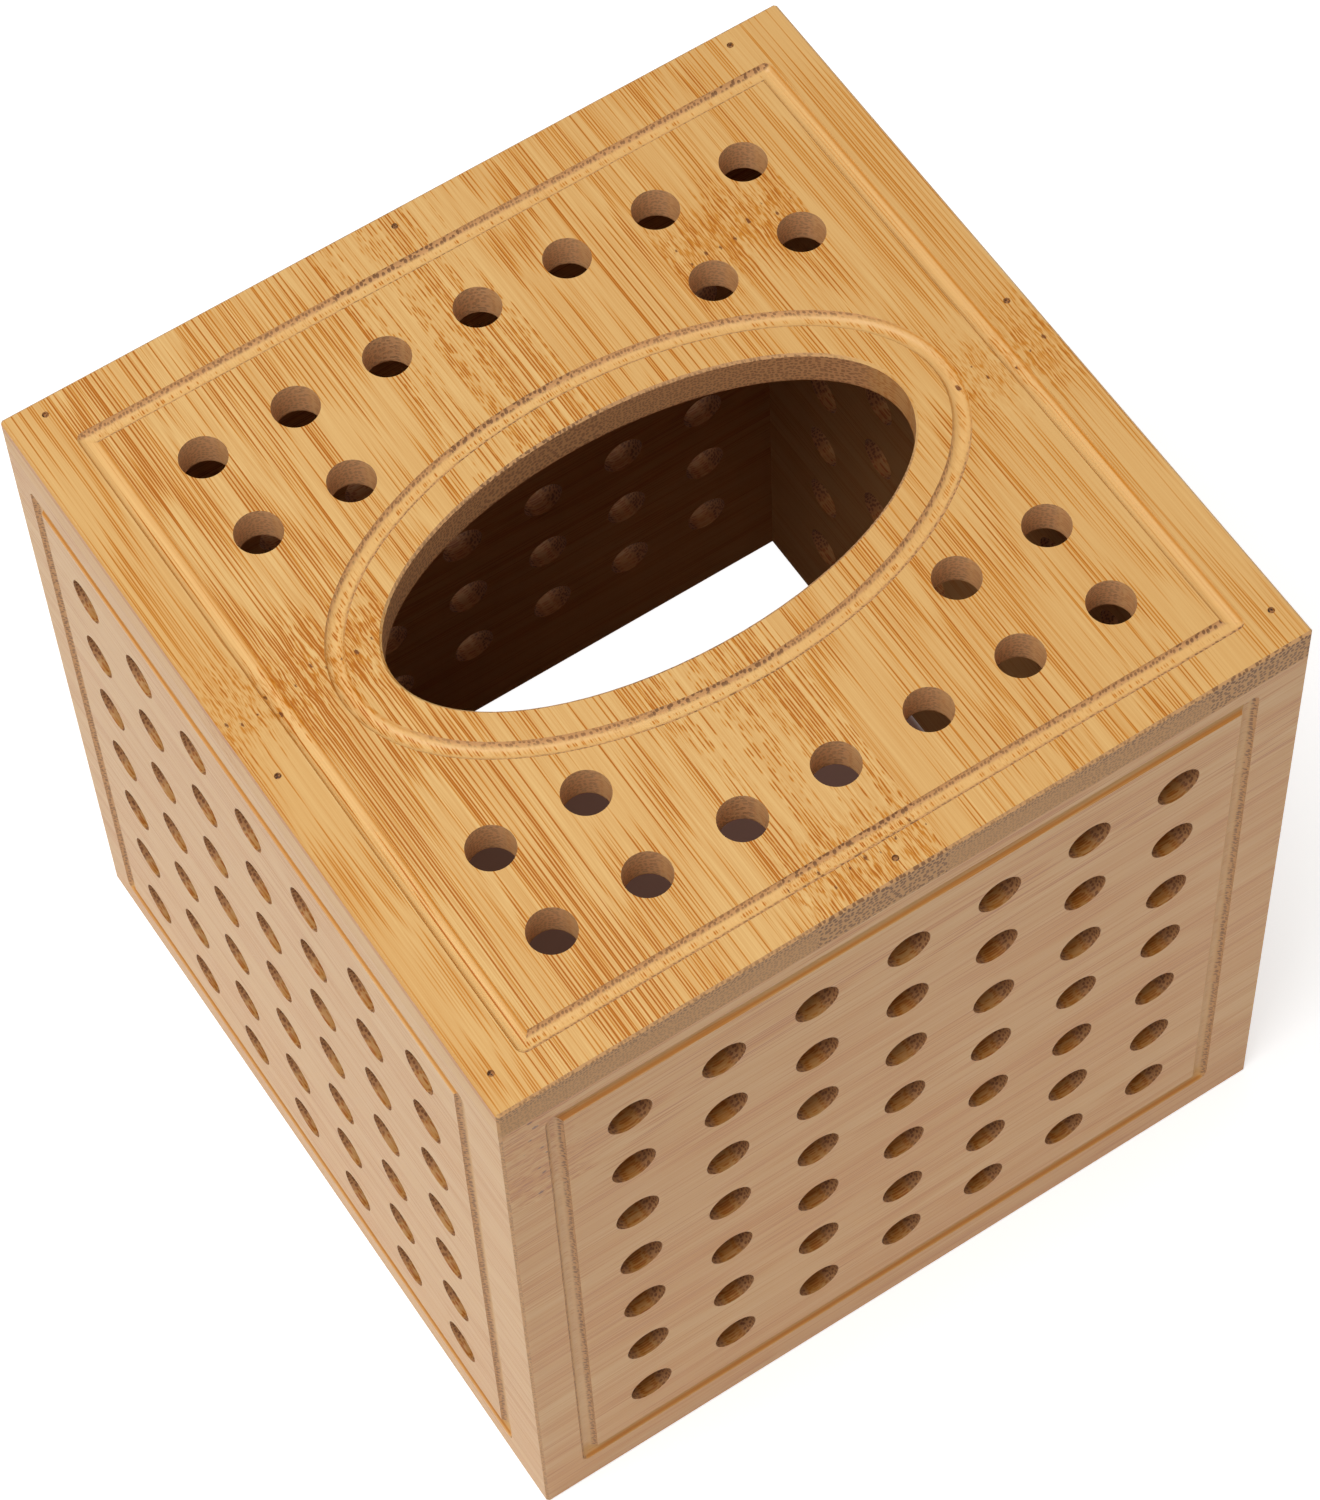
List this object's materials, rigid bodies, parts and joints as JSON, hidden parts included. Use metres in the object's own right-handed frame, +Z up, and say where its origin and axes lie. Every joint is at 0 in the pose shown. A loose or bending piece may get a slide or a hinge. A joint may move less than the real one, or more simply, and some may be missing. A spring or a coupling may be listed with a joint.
{
  "type": "tissue box cover",
  "caption": "Cube-shaped bamboo tissue box cover: mitred walls and a flat top with rows of round holes, routed frame grooves, an oval tissue opening and an open underside.",
  "frame": {"origin": "middle of the footprint, in the plane of the table", "axes": "+Z up, the front wall faces -Y, the tissue opening is long in X"},
  "size_m": [0.14, 0.14, 0.141],
  "materials": {
    "bamboo": "satin clear lacquer over caramel bamboo",
    "pin_steel": "bare, darkened"
  },
  "bodies": {
    "root": {"front_wall": "bamboo", "right_wall": "bamboo", "back_wall": "bamboo", "left_wall": "bamboo", "top_panel": "bamboo", "pin_nails": "pin_steel"}
  },
  "joints": []
}
